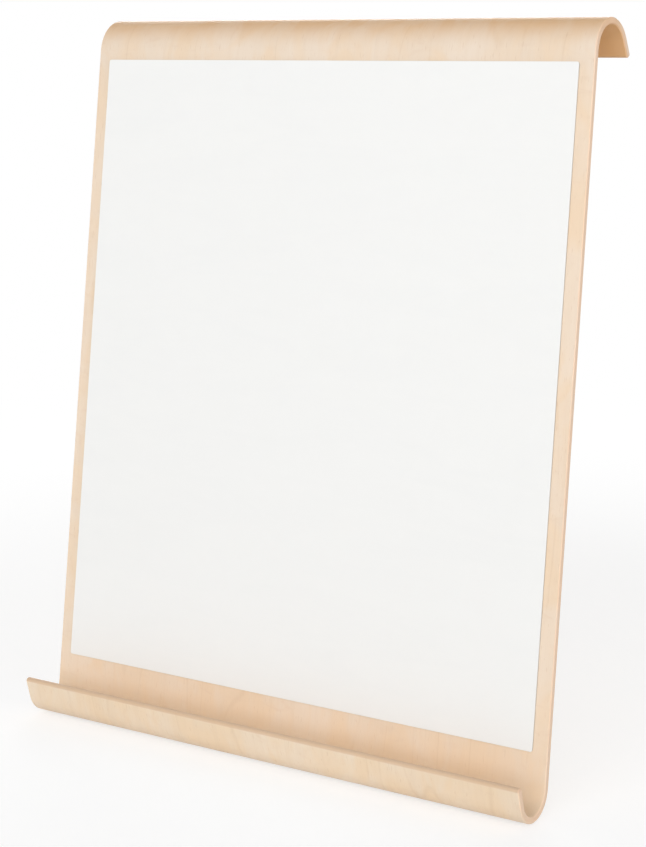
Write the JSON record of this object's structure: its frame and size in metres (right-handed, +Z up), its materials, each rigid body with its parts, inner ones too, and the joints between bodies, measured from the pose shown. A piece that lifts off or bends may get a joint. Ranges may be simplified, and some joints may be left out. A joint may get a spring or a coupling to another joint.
{
  "type": "desk easel",
  "caption": "Desk easel: a moulded plywood board with a rolled pen tray and rolled hook head, a magnetic dry-erase sheet on its front and a folding leg behind.",
  "frame": {"origin": "under the middle of the easel's box, on the desk", "axes": "+X to the right seen from the front, +Y to the back, +Z up"},
  "size_m": [0.2666, 0.1276, 0.3312],
  "materials": {
    "shell_plywood": "clear satin lacquer on maple veneer",
    "coated_steel": "gloss white dry-erase enamel",
    "adhesive": "clear film",
    "hinge_steel": "bright zinc plate",
    "rivet_steel": "bright zinc plate",
    "leg_plywood": "clear satin lacquer on maple veneer",
    "rubber": "matt"
  },
  "bodies": {
    "easel": {"plywood_shell": "shell_plywood", "whiteboard_sheet": "coated_steel", "adhesive_film": "adhesive", "hinge_panel_leaf": "hinge_steel", "panel_rivets": "rivet_steel", "hinge_pin": "rivet_steel", "tray_foot_left": "rubber", "tray_foot_right": "rubber"},
    "leg": {"leg_board": "leg_plywood", "hinge_leg_leaf": "hinge_steel", "leg_rivets": "rivet_steel", "leg_foot": "rubber"}
  },
  "joints": [
    {"name": "leg_hinge", "type": "hinge", "parent": "easel", "child": "leg", "pos_m": [0, -0.00807, 0.21417], "axis": [-1, 0, 0], "range_deg": [0, 24]}
  ]
}
